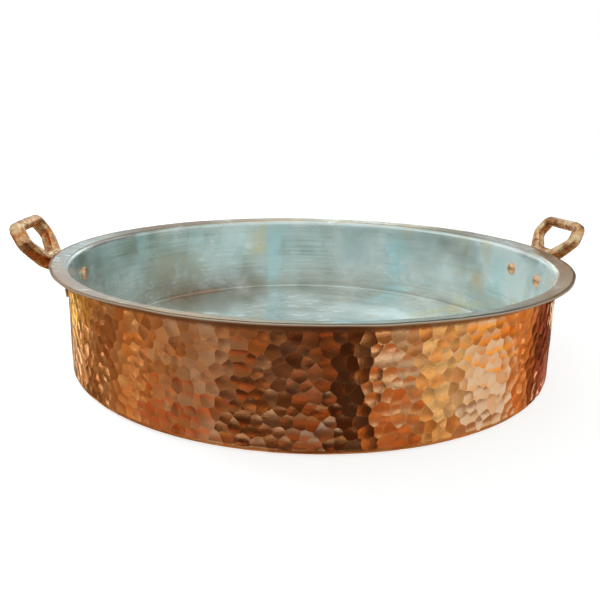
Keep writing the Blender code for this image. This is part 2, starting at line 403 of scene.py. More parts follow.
def hammer_tree():
    """Hollows the wall with overlapping blows and keeps a crisp ridge where two hollows meet."""
    blow = blow_tree()
    tree = bpy.data.node_groups.new("hammered_wall", "GeometryNodeTree")
    group_input(tree, "Pan", "NodeSocketGeometry", None)
    sizes = (
        ("Pitch", MARK_PITCH), ("Row pitch", ROW_PITCH), ("First row", FIRST_ROW),
        ("Depth", 0.00028), ("Tilt", 0.026), ("Scatter", 0.12), ("Hollow radius", 0.095),
        ("Snap", 0.5 * WALL_STEP), ("Marks round", float(MARKS_ROUND)), ("Rows", float(MARK_ROWS)), ("Seed", 11.0),
    )
    for name, default in sizes:
        group_input(tree, name, "NodeSocketFloat", default)
    group_input(tree, "Finish", "NodeSocketMaterial", None)
    tree.interface.new_socket("Pan", in_out="OUTPUT", socket_type="NodeSocketGeometry")
    graph = Graph(tree)
    given = graph.node("NodeGroupInput")
    position = graph.node("GeometryNodeInputPosition")["Position"]
    x, y, z = graph.split(position)
    bearing = graph.math("ARCTAN2", y, x)
    around = (bearing / (2.0 * math.pi) + 1.0) * given["Marks round"]
    up = (z - given["First row"]) / given["Row pitch"] + 0.5
    best = graph.combine(0.0, 0.0, 0.0)
    second = graph.combine(1.0, 0.0, 0.0)
    best_mark = graph.node("ShaderNodeValue")[0]
    best_mark.socket.default_value = -1.0
    passed = ("Pitch", "Row pitch", "Depth", "Tilt", "Scatter", "Hollow radius", "Marks round", "Rows", "Seed")
    for row in (-1.0, 0.0, 1.0):
        for column in (-1.0, 0.0, 1.0):
            sockets = {"Round": around, "Up": up, "Column": column, "Row": row}
            sockets.update({name: given[name] for name in passed})
            struck = graph.node("GeometryNodeGroup", {"node_tree": blow}, sockets)
            surface, mark = struck["Surface"], struck["Mark"]
            height = graph.split(surface)[0]
            deeper = graph.math("LESS_THAN", height, graph.split(best)[0])
            nearer = graph.math("LESS_THAN", height, graph.split(second)[0])
            runner_up = graph.node("GeometryNodeSwitch", {"input_type": "VECTOR"}, {0: nearer, 1: second, 2: surface})[0]
            second = graph.node("GeometryNodeSwitch", {"input_type": "VECTOR"}, {0: deeper, 1: runner_up, 2: best})[0]
            best = graph.node("GeometryNodeSwitch", {"input_type": "VECTOR"}, {0: deeper, 1: best, 2: surface})[0]
            best_mark = graph.node("GeometryNodeSwitch", {"input_type": "FLOAT"}, {0: deeper, 1: best_mark, 2: mark})[0]
    height, slope_round, slope_up = graph.split(best)
    other_height, other_round, other_up = graph.split(second)
    rise_round = other_round - slope_round
    rise_up = other_up - slope_up
    steepness = graph.math("MAXIMUM", rise_round * rise_round + rise_up * rise_up, 1e-8)
    gap = other_height - height
    to_ridge = gap / graph.math("SQRT", steepness)
    marked = graph.node("GeometryNodeInputNamedAttribute", {"data_type": "FLOAT"}, {"Name": "hammered"})["Attribute"]
    fine = graph.math("GREATER_THAN", z, FOOT_BEND * 0.999) * graph.math("LESS_THAN", z, FLANGE_BEND_HEIGHT)
    snapped = graph.math("LESS_THAN", to_ridge, given["Snap"]) * marked * fine
    move_round = -gap * rise_round / steepness * snapped
    move_up = -gap * rise_up / steepness * snapped
    push = (height + slope_round * move_round + slope_up * move_up) * marked
    radius = graph.math("MAXIMUM", graph.math("SQRT", x * x + y * y), 1e-6)
    across_x = -y / radius
    across_y = x / radius
    offset = graph.combine(
        across_x * move_round + x / radius * push,
        across_y * move_round + y / radius * push,
        move_up,
    )
    store = "GeometryNodeStoreNamedAttribute"
    ridged = graph.node(
        store, {"data_type": "FLOAT", "domain": "POINT"},
        {"Geometry": given["Pan"], "Name": "ridge", "Value": snapped},
    )["Geometry"]
    moved = graph.node("GeometryNodeSetPosition", None, {"Geometry": ridged, "Offset": offset})["Geometry"]
    ridge = graph.node("GeometryNodeInputNamedAttribute", {"data_type": "FLOAT"}, {"Name": "ridge"})["Attribute"]
    creased = graph.node(
        store, {"data_type": "BOOLEAN", "domain": "EDGE"},
        {"Geometry": moved, "Name": "sharp_edge", "Value": graph.math("GREATER_THAN", ridge, 0.9)},
    )["Geometry"]
    tone = graph.node(
        "FunctionNodeRandomValue", {"data_type": "FLOAT_VECTOR"},
        {0: (0.0, 0.0, 0.0), 1: (1.0, 1.0, 1.0), "ID": best_mark, "Seed": 5},
    )[0]
    toned = graph.node(
        store, {"data_type": "FLOAT_VECTOR", "domain": "FACE"},
        {"Geometry": creased, "Name": "mark_tone", "Value": tone},
    )["Geometry"]
    real = graph.node("GeometryNodeRealizeInstances", None, {0: toned})[0]
    dressed = graph.node("GeometryNodeSetMaterial", None, {"Geometry": real, "Material": given["Finish"]})[0]
    out = tree.nodes.new("NodeGroupOutput")
    tree.links.new(dressed.socket, out.inputs[0])
    return tree


def apply_tree(obj, tree, **values):
    """Run a node tree on obj and keep its plain result."""
    modifier = obj.modifiers.new(tree.name, "NODES")
    modifier.node_group = tree
    for item in tree.interface.items_tree:
        if item.in_out == "INPUT" and item.name.replace(" ", "_").lower() in values:
            modifier[item.identifier] = values[item.name.replace(" ", "_").lower()]
    return evaluated_copy(obj)


def make_pan(finish):
    """The hammered copper body."""
    pan = turned("hammered_pan", pan_section())
    apply_tree(pan, hammer_tree(), finish=finish)
    return pan


# ---------------------------------------------------------------------------
# Rim: cut and bent by hand, so its edge wanders a little
# ---------------------------------------------------------------------------

def wander(obj, outward, upward):
    """Let the flange's outline stray from a circle, the same way for the copper and its lining."""
    start = WALL_TOP_RADIUS + 0.001
    for vertex in obj.data.vertices:
        radius = math.hypot(vertex.co.x, vertex.co.y)
        share = min(max((radius - start) / (RIM_RADIUS - start), 0.0), 1.0)
        if share == 0.0:
            continue
        bearing = Vector((vertex.co.x, vertex.co.y, 0.0)) / radius
        out = noise.noise(bearing * 2.6 + Vector((3.0, 0.0, 0.0))) + 0.35 * noise.noise(bearing * 9.0)
        lift = noise.noise(bearing * 3.1 + Vector((0.0, 7.0, 0.0))) + 0.3 * noise.noise(bearing * 11.0)
        vertex.co += bearing * (share * outward * out)
        vertex.co.z += share * upward * lift


# ---------------------------------------------------------------------------
# Tin lining
# ---------------------------------------------------------------------------

def tin_skin(depth, reach):
    """Rows of one face of the lining, from the axis out to the flange's edge."""
    foot, flange = sheet_bends(depth)
    floor = [(foot[0][0] * share, depth) for share in (0.06, 0.15, 0.28, 0.4, 0.52, 0.64, 0.76, 0.88, 0.96)]
    wall = along(foot[-1], flange[0], 14)
    flat = along(flange[-1], flange_point(depth, reach), 5)
    return [(0.0, depth)], floor, foot + wall + flange + flat + [flange_point(depth, reach)]


def make_lining():
    """The tin skin, a little uneven where it was wiped on."""
    reach = RIM_RADIUS - 0.0009
    rows = []
    for depth, turn in ((SHEET + CLEARANCE, 1), (LINING_DEPTH, -1)):
        pole, floor, rest = tin_skin(depth, reach)
        side = ring_rows(pole, 1, 0.0, 0.0) + ring_rows(floor, HIDDEN_SIDES, 0.0, 0.0)
        side += ring_rows(rest, EDGE_SIDES, 0.0, 0.0)
        rows += side[::turn]
    lining = turned("tin_lining_skin", rows)
    for vertex in lining.data.vertices:
        radius = math.hypot(vertex.co.x, vertex.co.y)
        wave = 0.5 + 0.5 * noise.noise(Vector((vertex.co.x * 28.0, vertex.co.y * 28.0, vertex.co.z * 14.0)))
        if radius < WALL_TOP_RADIUS - 0.008:
            vertex.co.z += 0.0005 * wave
        elif vertex.co.z < FLANGE_BEND_HEIGHT:
            vertex.co.x -= 0.0006 * wave * vertex.co.x / radius
            vertex.co.y -= 0.0006 * wave * vertex.co.y / radius
    return lining


# ---------------------------------------------------------------------------
# Handles and rivets
# ---------------------------------------------------------------------------

def edge_wear(mesh, passes):
    """How far each vertex stands out of its surroundings, in metres."""
    count = len(mesh.vertices)
    places = np.empty(count * 3)
    normals = np.empty(count * 3)
    edges = np.empty(len(mesh.edges) * 2, dtype=np.int64)
    mesh.vertices.foreach_get("co", places)
    mesh.vertices.foreach_get("normal", normals)
    mesh.edges.foreach_get("vertices", edges)
    places = places.reshape(-1, 3)
    first, second = edges.reshape(-1, 2).T
    neighbours = np.bincount(edges, minlength=count)[:, None]
    around = places.copy()
    for _ in range(passes):
        total = np.empty_like(around)
        for axis in range(3):
            total[:, axis] = np.bincount(first, around[second, axis], count)
            total[:, axis] += np.bincount(second, around[first, axis], count)
        around = 0.5 * around + 0.5 * total / neighbours
    return ((places - around) * normals.reshape(-1, 3)).sum(axis=1)


def make_handle(node, name, growth, swell, seed):
    """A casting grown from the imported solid: its loop a touch longer, a sandy skin and worn edges."""
    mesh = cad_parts[node].data.copy()
    builder = bmesh.new()
    builder.from_mesh(mesh)
    bmesh.ops.remove_doubles(builder, verts=builder.verts, dist=1e-6)
    handle = add_object(name, builder)
    bpy.data.meshes.remove(mesh)
    remesh = handle.modifiers.new("skin", "REMESH")
    remesh.mode = "VOXEL"
    remesh.voxel_size = 0.0006
    smooth = handle.modifiers.new("soften", "SMOOTH")
    smooth.factor = 0.5
    smooth.iterations = 2
    evaluated_copy(handle)
    wear = handle.data.attributes.new("edge_wear", "FLOAT", "POINT")
    wear.data.foreach_set("value", edge_wear(handle.data, 14) / 0.0005)
    shift = Vector((seed, 0.0, 0.0))
    normals = [vertex.normal.copy() for vertex in handle.data.vertices]
    for vertex, normal in zip(handle.data.vertices, normals):
        sand = noise.noise(vertex.co * 480.0 + shift)
        lumps = noise.noise(vertex.co * 110.0 + shift)
        vertex.co += normal * (swell + 0.00014 * sand + 0.00022 * lumps)
        side = math.copysign(1.0, vertex.co.x)
        out = max(side * vertex.co.x - LOOP_FOOT, 0.0)
        above = max(vertex.co.z - RIM_HEIGHT, 0.0)
        vertex.co += Vector((side * out, 0.0, above)) * growth
    handle.data.shade_smooth()
    return handle


def rivet_shape():
    """One rivet along X: a dome inside the pan, a shank, and a flatter head on the plate."""
    inner_seat = wall_radius(RIVET_HEIGHT + HEAD_RADIUS) - LINING_DEPTH - 0.0004
    outer_seat = PLATE_FACE + 0.0002
    dome = arc((0.0, 0.0), 1.0, 84.0, 0.0, 6)
    section = [(0.0, inner_seat - HEAD_HEIGHT, 1, 0.0, 0.0)]
    section += ring_rows([(HEAD_RADIUS * r, inner_seat - HEAD_HEIGHT * h) for r, h in dome], 20, 0.0, 0.0)
    section += ring_rows([(SHANK_RADIUS, inner_seat), (SHANK_RADIUS, outer_seat)], 20, 0.0, 0.0)
    outer_dome = [(HEAD_RADIUS * r, outer_seat + OUTER_HEAD_HEIGHT * h) for r, h in reversed(dome)]
    section += ring_rows(outer_dome, 20, 0.0, 0.0)
    section += [(0.0, outer_seat + OUTER_HEAD_HEIGHT, 1, 0.0, 0.0)]
    shape = turned("rivets", section)
    shape.data.transform(Matrix.Rotation(0.5 * math.pi, 4, "Y"))
    shape.data.transform(Matrix.Translation((0.0, 0.0, RIVET_HEIGHT)))
    return shape


def rivet_tree():
    """Sets a rivet at each hole and dents its heads a little."""
    tree = bpy.data.node_groups.new("set_rivets", "GeometryNodeTree")
    group_input(tree, "Rivet", "NodeSocketGeometry", None)
    group_input(tree, "Angle", "NodeSocketFloat", RIVET_ANGLE)
    group_input(tree, "Shift", "NodeSocketFloat", PLATE_SHIFT)
    group_input(tree, "Dents", "NodeSocketFloat", 0.0009)
    group_input(tree, "Finish", "NodeSocketMaterial", None)
    tree.interface.new_socket("Rivets", in_out="OUTPUT", socket_type="NodeSocketGeometry")
    graph = Graph(tree)
    given = graph.node("NodeGroupInput")
    holes = graph.node("GeometryNodeMeshLine", None, {"Count": 4, "Offset": (0.0, 0.0, 0.0)})[0]
    index = graph.node("GeometryNodeInputIndex")[0]
    side = graph.math("FLOOR", index * 0.5)
    hand = graph.math("MODULO", index, 2.0) * 2.0 - 1.0
    shift = (side * 2.0 - 1.0) * given["Shift"]
    turn = graph.combine(0.0, 0.0, side * math.pi + shift + hand * given["Angle"])
    copies = graph.node(
        "GeometryNodeInstanceOnPoints", None,
        {"Points": holes, "Instance": given["Rivet"], "Rotation": turn},
    )[0]
    real = graph.node("GeometryNodeRealizeInstances", None, {0: copies})[0]
    position = graph.node("GeometryNodeInputPosition")[0]
    dents = graph.node("ShaderNodeTexNoise", None, {"Vector": position, "Scale": 260.0, "Detail": 1.0})["Color"]
    centred = graph.vector_math("SUBTRACT", dents, (0.5, 0.5, 0.5))
    offset = graph.node("ShaderNodeVectorMath", {"operation": "SCALE"}, {0: centred, "Scale": given["Dents"]})[0]
    dented = graph.node("GeometryNodeSetPosition", None, {"Geometry": real, "Offset": offset})[0]
    dressed = graph.node("GeometryNodeSetMaterial", None, {"Geometry": dented, "Material": given["Finish"]})[0]
    out = tree.nodes.new("NodeGroupOutput")
    tree.links.new(dressed.socket, out.inputs[0])
    return tree


# ---------------------------------------------------------------------------
# Finishes
# ---------------------------------------------------------------------------

def new_finish(name):
    """An empty Principled material and the graph that fills it."""
    material = bpy.data.materials.new(name)
    material.use_nodes = True
    graph = Graph(material.node_tree)
    shader = material.node_tree.nodes["Principled BSDF"]
    return material, graph, shader


def plug(graph, shader, **links):
    """Link values to the shader's sockets by lower-case name."""
    for name, value in links.items():
        socket = shader.inputs[name.replace("_", " ").title()]
        if isinstance(value, Value):
            graph.tree.links.new(value.socket, socket)
        else:
            socket.default_value = value


def bump(graph, height, distance, strength=1.0):
    """A normal from a height in units of distance."""
    return graph.node("ShaderNodeBump", None, {"Height": height, "Distance": distance, "Strength": strength})[0]


def hammered_copper():
    """Copper that differs a little from mark to mark, with a painted shadow under the flange, and tinned at its edge.
    """
    material, graph, shader = new_finish("hammered_copper")
    place = graph.node("ShaderNodeTexCoord")["Object"]
    x, y, height = graph.split(place)
    radius = graph.math("SQRT", x * x + y * y)
    tone = graph.node("ShaderNodeAttribute", {"attribute_name": "mark_tone"})["Vector"]
    shade, gloss, warmth = graph.split(tone)
    clouds = graph.noise(place, 11.0, 3.0, 0.55)
    grain = graph.noise(place, 260.0, 4.0, 0.6)
    age = graph.step(clouds * 0.78 + shade * 0.22, 0.3, 0.7)
    metal = graph.ramp(age, (
        (0.0, (0.70, 0.300, 0.110)),
        (0.4, (0.86, 0.430, 0.190)),
        (0.75, (0.93, 0.540, 0.280)),
        (1.0, (0.94, 0.610, 0.370)),
    ))
    fiery = graph.step(warmth + 0.6 * graph.noise(place, 9.0), 1.02, 1.25)
    metal = graph.blend(fiery * 0.6, metal, colour(0.90, 0.33, 0.08))
    metal = graph.blend(graph.step(grain, 0.55, 0.75) * 0.25, metal, colour(0.45, 0.20, 0.09))
    ridge = graph.node("ShaderNodeAttribute", {"attribute_name": "ridge"})["Fac"]
    worn = graph.step(ridge, 0.72, 1.0) * graph.step(clouds, 0.40, 0.62)
    metal = graph.blend(worn * 0.45, metal, colour(1.0, 0.76, 0.50))
    # Painted shadow: a dark band on the wall just under the flange, which is also made rougher.
    painted_flange_shadow = graph.step(height + 0.003 * grain, RIM_HEIGHT - 0.0090, RIM_HEIGHT - 0.0058)
    metal = graph.blend(painted_flange_shadow * 0.75, metal, colour(0.16, 0.065, 0.028))
    tinned = graph.step(radius + 0.0012 * grain, RIM_RADIUS - 0.0016, RIM_RADIUS - 0.0006)
    metal = graph.blend(tinned * 0.8, metal, colour(0.66, 0.58, 0.48))
    roughness = 0.04 + 0.05 * gloss + 0.07 * clouds + 0.12 * worn + 0.22 * painted_flange_shadow + 0.2 * tinned
    fine = graph.noise(place, 900.0, 3.0, 0.6)
    plug(
        graph, shader, base_color=metal, metallic=1.0, roughness=roughness,
        normal=bump(graph, fine * 0.6 + grain, 0.00004),
    )
    return material


# Streaks on the tin of the wall and floor, partly marks of the wiping cloth and partly painted reflections and
# highlights of the room: bearing and half spread in degrees, lowest and highest reach, tint
TIN_STREAKS_AND_PAINTED_REFLECTIONS = (
    ("beige_streak_and_reflection", 100.5, 4.2, 0.045, 0.110, (0.89, 0.82, 0.61)),
    ("cyan_streak_and_reflection", 94.5, 3.2, -0.040, 0.100, (0.66, 0.93, 0.98)),
    ("cyan_top", 66.0, 6.5, 0.040, 0.110, (0.72, 0.88, 0.90)),
    ("cyan_long", 51.0, 5.6, -0.040, 0.090, (0.66, 0.95, 1.00)),
    ("cyan_right", 11.5, 4.5, 0.030, 0.095, (0.70, 0.96, 0.98)),
    ("beige_right", 19.5, 4.0, 0.030, 0.062, (0.95, 0.72, 0.42)),
    ("pale_left", 121.5, 5.0, 0.040, 0.100, (0.74, 0.90, 0.90)),
    ("brown_left", 132.0, 15.0, -0.030, 0.075, (0.60, 0.56, 0.46)),
    ("brown_floor", 119.0, 17.0, -0.060, 0.014, (0.42, 0.31, 0.22)),
    ("pale_floor_right", 36.0, 19.0, -0.060, 0.020, (0.95, 1.00, 0.97)),
    ("cream_corner", 26.0, 5.0, -0.030, 0.022, (1.00, 0.95, 0.66)),
    ("white_corner", 106.0, 3.5, -0.030, 0.020, (1.00, 1.00, 1.00)),
)
# The rim's tin round the pan, partly its own tone and partly painted reflection of the room: bearing in degrees and
# tint
RIM_TINTS_AND_REFLECTIONS = (
    (-180.0, (0.70, 0.75, 0.80)),
    (-150.0, (1.00, 0.92, 0.82)),
    (-130.0, (0.90, 0.80, 0.66)),
    (-112.0, (1.35, 1.30, 1.10)),
    (-90.0, (0.62, 0.82, 0.86)),
    (-65.0, (0.38, 0.47, 0.46)),
    (-50.0, (0.90, 0.76, 0.60)),
    (-10.0, (0.76, 0.68, 0.58)),
    (15.0, (0.58, 0.66, 0.70)),
    (30.0, (0.50, 0.50, 0.43)),
    (50.0, (0.95, 0.95, 0.90)),
    (90.0, (1.30, 1.20, 1.05)),
    (115.0, (0.66, 0.64, 0.57)),
    (150.0, (0.58, 0.51, 0.40)),
    (180.0, (0.70, 0.75, 0.80)),
)
# Where the tin has worn through to copper along the corner inside, and where the painted shade in that corner is
# darkest
WORN_AND_SHADED_CORNER = math.radians(124.5)


def wiped_tin():
    """Tin wiped on by hand: streaks round the pan, pale runs up the wall and copper at the corner, with painted
    reflections and painted glints on the tin, painted light towards +X, and painted shade on the floor towards -X and
    along the corner.
    """
    material, graph, shader = new_finish("wiped_tin")
    place = graph.node("ShaderNodeTexCoord")["Object"]
    x, y, z = graph.split(place)
    radius = graph.math("SQRT", x * x + y * y + 1e-8)
    on_wall = graph.step(radius, WALL_TOP_RADIUS - 0.008, WALL_TOP_RADIUS - 0.003)
    on_flange = graph.step(radius, WALL_TOP_RADIUS - 0.0022, WALL_TOP_RADIUS + 0.0010)
    turn_x = x / WALL_TOP_RADIUS
    turn_y = y / WALL_TOP_RADIUS
    turn = graph.combine(turn_x, turn_y, 0.0)
    facing = graph.combine(x / radius, y / radius, 0.0)

    def wiped(round_scale, across_scale, detail, roughness):
        across = z * across_scale + radius * (0.6 * across_scale)
        where = graph.combine(turn_x * round_scale, turn_y * round_scale, across)
        return graph.noise(where, 1.0, detail, roughness)

    rings = wiped(2.2, 300.0, 4.0, 0.65)
    brushed = wiped(9.0, 900.0, 3.0, 0.6)
    smears = wiped(6.0, 30.0, 3.0, 0.6)
    runs_and_reflections = graph.noise(graph.combine(turn_x * 6.5, turn_y * 6.5, z * 5.0), 1.0, 2.0, 0.5)
    beige = graph.noise(graph.combine(turn_x * 5.0 + 7.0, turn_y * 5.0, z * 12.0), 1.0, 3.0, 0.6)
    clouds = graph.noise(place, 9.0, 3.0, 0.55)
    strokes = wiped(1.6, 330.0, 4.0, 0.7)
    # Painted light: the tin is made a little paler towards +X.
    painted_light_right = 0.08 * graph.step(x, -0.20, 0.20)
    base = graph.ramp(clouds * 0.55 + smears * 0.2 + strokes * 0.25 + painted_light_right, (
        (0.39, (0.42, 0.44, 0.38)),
        (0.5, (0.71, 0.80, 0.79)),
        (0.61, (0.91, 1.00, 1.00)),
    ))
    # Pale cyan runs on the wall: partly runs of tin, partly painted reflection.
    base = graph.blend(graph.step(runs_and_reflections, 0.55, 0.68) * on_wall * 0.45, base, colour(0.66, 0.86, 0.88))
    base = graph.blend(graph.step(beige, 0.57, 0.72) * 0.5, base, colour(0.78, 0.68, 0.48))
    ragged = graph.noise(graph.combine(turn_x * 16.0, turn_y * 16.0, z * 45.0), 1.0, 4.0, 0.65)
    # Streaks laid at given bearings: partly wiped marks in the tin, partly painted reflections and painted highlights
    # of the room.
    for name, bearing, spread, low, high, tint in TIN_STREAKS_AND_PAINTED_REFLECTIONS:
        ahead = (math.cos(math.radians(bearing)), math.sin(math.radians(bearing)), 0.0)
        aim = graph.vector_math("DOT_PRODUCT", facing, ahead)
        streak_and_reflection = graph.step(aim, math.cos(math.radians(spread)), 1.0) * graph.step(radius, 0.12, 0.22)
        reach = z + 0.05 * (ragged - 0.5)
        streak_and_reflection = streak_and_reflection * graph.step(reach, low - 0.01, low + 0.02) * graph.step(reach, high + 0.01, high - 0.02)
        streak_and_reflection.socket.node.label = name
        base = graph.blend(streak_and_reflection * graph.step(ragged, 0.30, 0.60), base, colour(*tint))
    faint = 1.0 - 0.6 * on_wall
    base = graph.blend(graph.step(rings, 0.55, 0.72) * faint * 0.5, base, colour(0.90, 0.95, 0.92))
    base = graph.blend(graph.step(rings, 0.42, 0.30) * faint * 0.4, base, colour(0.26, 0.25, 0.20))
    base = graph.blend(on_flange * 0.85, base, colour(0.40, 0.36, 0.31))
    base = graph.blend(graph.step(smears, 0.55, 0.62) * on_flange * 0.6, base, colour(0.75, 0.80, 0.80))
    on_floor = graph.step(radius, WALL_TOP_RADIUS - 0.004, WALL_TOP_RADIUS - 0.012)
    # Painted shade: the floor inside is darker towards -X.
    base = graph.blend(on_floor * graph.step(x, 0.15, 0.01) * 0.42, base, colour(0.37, 0.37, 0.33))
    # Painted glints: small near-white flecks, also made a little glossier.
    painted_glints = graph.noise(graph.combine(x * 55.0, y * 130.0, z * 260.0), 1.0, 4.0, 0.65)
    painted_glints = graph.step(painted_glints, 0.555, 0.615) * graph.step(clouds, 0.44, 0.56)
    base = graph.blend(painted_glints * 0.8, base, colour(0.97, 1.0, 0.98))
    # Painted shade along the inside corner, darkest at the worn bearing; the copper showing through there is wear.
    corner = graph.step(radius, WALL_TOP_RADIUS - 0.010, WALL_TOP_RADIUS - 0.004) * graph.step(z, 0.010, 0.003)
    worn_and_shaded_way = (math.cos(WORN_AND_SHADED_CORNER), math.sin(WORN_AND_SHADED_CORNER), 0.0)
    worn_and_shaded_aim = graph.vector_math("DOT_PRODUCT", facing, worn_and_shaded_way)
    worn_and_shaded_patch = graph.step(worn_and_shaded_aim, math.cos(math.radians(12.0)), math.cos(math.radians(7.0)))
    base = graph.blend(corner * (0.12 + 0.5 * worn_and_shaded_patch), base, colour(0.30, 0.26, 0.19))
    worn = corner * worn_and_shaded_patch * graph.step(brushed, 0.3, 0.5)
    edge_wear = graph.step(radius + 0.002 * clouds, RIM_RADIUS - 0.0028, RIM_RADIUS - 0.0008) * 0.6
    rubbed = graph.step(wiped(5.0, 160.0, 4.0, 0.7), 0.42, 0.60) * on_flange * 0.75
    worn = graph.math("MAXIMUM", worn, graph.math("MAXIMUM", edge_wear, rubbed))
    base = graph.blend(worn, base, colour(0.60, 0.43, 0.31))
    # The flange's colour is multiplied by a tint by bearing, partly painted reflection of the room.
    bearing = graph.math("ARCTAN2", y, x) / (2.0 * math.pi) + 0.5 + 0.03 * (clouds - 0.5)
    rim_tints_and_reflections = graph.ramp(bearing, [(at / 360.0 + 0.5, tint) for at, tint in RIM_TINTS_AND_REFLECTIONS])
    base = graph.blend(on_flange, base, rim_tints_and_reflections, "MULTIPLY")
    dull = graph.step(corner + 0.5 * clouds, 0.3, 1.0)
    roughness = 0.07 + 0.16 * clouds + 0.10 * brushed + 0.25 * dull - 0.06 * painted_glints
    metallic = 0.90 - 0.30 * graph.step(clouds, 0.4, 0.6)
    plug(
        graph, shader, base_color=base, metallic=metallic, roughness=roughness,
        normal=bump(graph, brushed + 1.2 * rings + 2.0 * clouds, 0.0001),
    )
    return material


def cast_bronze():
    """Rough-cast bronze, dark in its hollows and pits and rubbed to gold along its edges."""
    material, graph, shader = new_finish("cast_bronze")
    place = graph.node("ShaderNodeTexCoord")["Object"]
    wear = graph.node("ShaderNodeAttribute", {"attribute_name": "edge_wear"})["Fac"]
    clouds = graph.noise(place, 70.0, 3.0, 0.6)
    sand = graph.noise(place, 700.0, 4.0, 0.65)
    scratches = graph.noise(graph.vector_math("MULTIPLY", place, (300.0, 900.0, 2200.0)), 1.0, 3.0, 0.6)
    pits = graph.node("ShaderNodeTexVoronoi", {"feature": "SMOOTH_F1"}, {"Vector": place, "Scale": 420.0})["Distance"]
    metal = graph.ramp(clouds + 0.25 * (sand - 0.5), (
        (0.36, (0.34, 0.150, 0.065)),
        (0.50, (0.86, 0.510, 0.250)),
        (0.62, (1.00, 0.750, 0.460)),
    ))
    left = graph.step(graph.split(place)[0], 0.05, -0.05)
    rust = graph.step(graph.noise(place, 90.0, 2.0, 0.5) + 0.09 * left, 0.54, 0.68)
    metal = graph.blend(rust * (0.55 + 0.35 * left), metal, colour(0.72, 0.26, 0.07))
    metal = graph.blend(graph.step(scratches, 0.45, 0.34) * 0.5, metal, colour(0.16, 0.07, 0.035))
    hollows = graph.step(wear + 0.5 * (sand - 0.5), -0.10, -0.75)
    metal = graph.blend(hollows * 0.85, metal, colour(0.12, 0.055, 0.03))
    rubbed = graph.step(wear + 0.9 * (sand - 0.5), 0.35, 0.95)
    metal = graph.blend(rubbed * 0.85, metal, colour(1.0, 0.80, 0.54))
    roughness = 0.10 + 0.18 * sand + 0.20 * hollows - 0.05 * rubbed
    plug(
        graph, shader, base_color=metal, metallic=1.0, roughness=roughness,
        normal=bump(graph, sand + 0.6 * pits + scratches, 0.00015),
    )
    return material


def rivet_copper():
    """Bright copper rivet heads."""
    material, graph, shader = new_finish("rivet_copper")
    place = graph.node("ShaderNodeTexCoord")["Object"]
    clouds = graph.noise(place, 160.0, 3.0, 0.6)
    metal = graph.ramp(clouds, ((0.34, (0.62, 0.24, 0.10)), (0.5, (0.98, 0.52, 0.27)), (0.68, (1.0, 0.72, 0.50))))
    plug(
        graph, shader, base_color=metal, metallic=0.9, roughness=0.12 + 0.2 * clouds,
        normal=bump(graph, graph.noise(place, 500.0, 3.0), 0.0001),
    )
    return material


# ---------------------------------------------------------------------------
# Studio
# ---------------------------------------------------------------------------

# Things round the room that the copper mirrors: bearing right of the camera and height over the
# horizon in degrees, half width, half height, softness, and the light they send back.
ROOM_THINGS = (
    ("gold_cloth_left", -128.0, -14.0, 13.0, 2.6, 2.0, (0.70, 0.55, 0.16)),
    ("lamp_left", -124.0, -15.0, 1.6, 0.9, 0.6, (2.6, 2.2, 1.1)),
    ("brass_left", -84.0, -22.0, 7.0, 3.5, 2.5, (0.60, 0.44, 0.26)),
    ("red_rug_left", -62.0, -27.5, 24.0, 3.0, 2.0, (0.50, 0.20, 0.13)),
    ("grey_cloth", -52.0, -20.5, 13.0, 4.5, 4.0, (0.42, 0.37, 0.36)),
    ("doorway_left", -20.0, -24.0, 15.0, 3.6, 2.0, (0.075, 0.05, 0.045)),
    ("doorway_left_top", -6.0, -19.0, 4.0, 6.0, 1.5, (0.08, 0.05, 0.04)),
    ("doorway", 15.0, -21.0, 10.0, 9.0, 1.5, (0.060, 0.036, 0.028)),
    ("copper_ware_left", -28.0, -20.5, 4.0, 1.6, 1.5, (0.62, 0.26, 0.14)),
    ("copper_ware_mid", 6.0, -20.5, 4.5, 1.8, 1.2, (0.48, 0.22, 0.12)),
    ("copper_ware_low", 0.0, -25.5, 6.0, 2.0, 2.0, (0.45, 0.22, 0.14)),
    ("orange_ware", 37.0, -24.0, 10.0, 5.5, 1.5, (0.56, 0.26, 0.11)),
    ("cream_ware", 38.0, -18.5, 10.0, 2.0, 0.8, (0.86, 0.90, 0.90)),
    ("gold_cloth", 60.0, -22.0, 11.0, 6.5, 1.5, (0.66, 0.58, 0.38)),
    ("cream_cloth", 85.0, -21.0, 14.0, 3.6, 0.6, (0.76, 0.80, 0.83)),
    ("amber_lamps", 86.0, -15.6, 17.0, 1.5, 0.8, (1.05, 0.62, 0.12)),
    ("brown_rug", 84.0, -26.6, 17.0, 1.6, 0.8, (0.34, 0.22, 0.15)),
    ("orange_wall", 108.0, -20.0, 9.0, 8.0, 1.2, (0.50, 0.24, 0.09)),
    ("red_curtain", 131.0, -19.0, 13.0, 8.0, 2.0, (0.17, 0.055, 0.035)),
    ("white_sparks", 148.0, -15.0, 2.0, 1.0, 0.5, (2.4, 2.2, 1.9)),
    ("pale_stone", -12.0, -31.5, 30.0, 2.4, 1.2, (0.46, 0.50, 0.60)),
)
# The same behind the tray, where the flange and the floor inside mirror it.
BACK_THINGS = (
    ("grey_wall", -150.0, 15.0, 26.0, 14.0, 5.0, (0.64, 0.61, 0.60)),
    ("dark_shelves", 138.0, 14.0, 20.0, 14.0, 2.5, (0.15, 0.115, 0.09)),
    ("window_mid", 176.5, 15.0, 3.0, 9.0, 1.2, (1.3, 2.1, 2.3)),
    ("window_left", -164.0, 17.0, 2.0, 7.0, 1.0, (1.2, 1.7, 1.8)),
    ("lamps_right", 171.0, 16.0, 2.4, 5.0, 1.2, (2.8, 2.9, 2.6)),
    ("lamp_low_right", 166.0, 13.5, 1.3, 1.4, 0.6, (4.5, 4.0, 2.8)),
    ("lamp_low_mid", 174.0, 20.0, 1.4, 1.4, 0.6, (4.0, 4.2, 4.2)),
)


